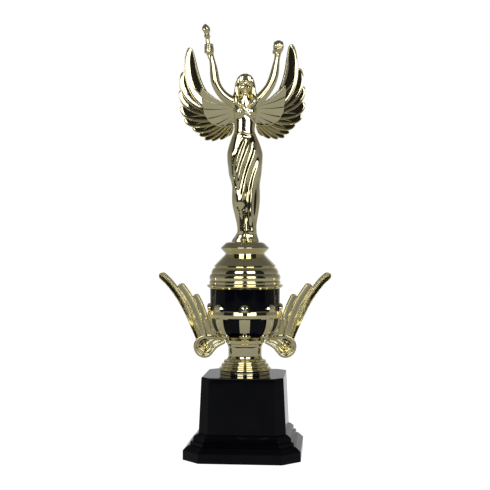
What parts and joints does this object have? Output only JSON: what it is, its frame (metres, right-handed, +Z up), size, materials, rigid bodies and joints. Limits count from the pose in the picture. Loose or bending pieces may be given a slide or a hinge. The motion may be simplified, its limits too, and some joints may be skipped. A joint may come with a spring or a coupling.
{
  "type": "figure trophy",
  "caption": "Winged figure with raised arms and a torch on a stepped lid, over a ribbed cup with feathered handles and a black block base.",
  "frame": {"origin": "on the rod's axis, at the underside of the felt pad", "axes": "+Z up, the base's plate face looks along -Y, and the torch is on the -X side"},
  "size_m": [0.1208, 0.08, 0.2998],
  "materials": {
    "gold_plastic": "vacuum metallised, pale gold mirror",
    "black_plastic": "polished black",
    "plaster": "cast, rough",
    "felt": "felt",
    "zinc_steel": "bright zinc plated"
  },
  "bodies": {
    "base": {"base_shell": "black_plastic", "ballast_block": "plaster", "felt_pad": "felt", "base_washer": "zinc_steel"},
    "cup": {"pedestal": "gold_plastic", "bowl_cage": "gold_plastic", "bowl_liner": "black_plastic", "lid_dome": "gold_plastic", "handle_left": "gold_plastic", "handle_right": "gold_plastic"},
    "figure": {"figure_body": "gold_plastic", "figure_nut": "zinc_steel", "wing_left": "gold_plastic", "wing_right": "gold_plastic", "tie_rod": "zinc_steel", "lock_washer": "zinc_steel", "base_nut": "zinc_steel"}
  },
  "joints": [
    {"name": "cup_turn", "type": "hinge", "parent": "base", "child": "cup", "pos_m": [0, 0, 0.0557], "axis": [0, 0, 1], "continuous": true},
    {"name": "figure_turn", "type": "hinge", "parent": "cup", "child": "figure", "pos_m": [0, 0, 0.1395], "axis": [0, 0, 1], "continuous": true}
  ]
}
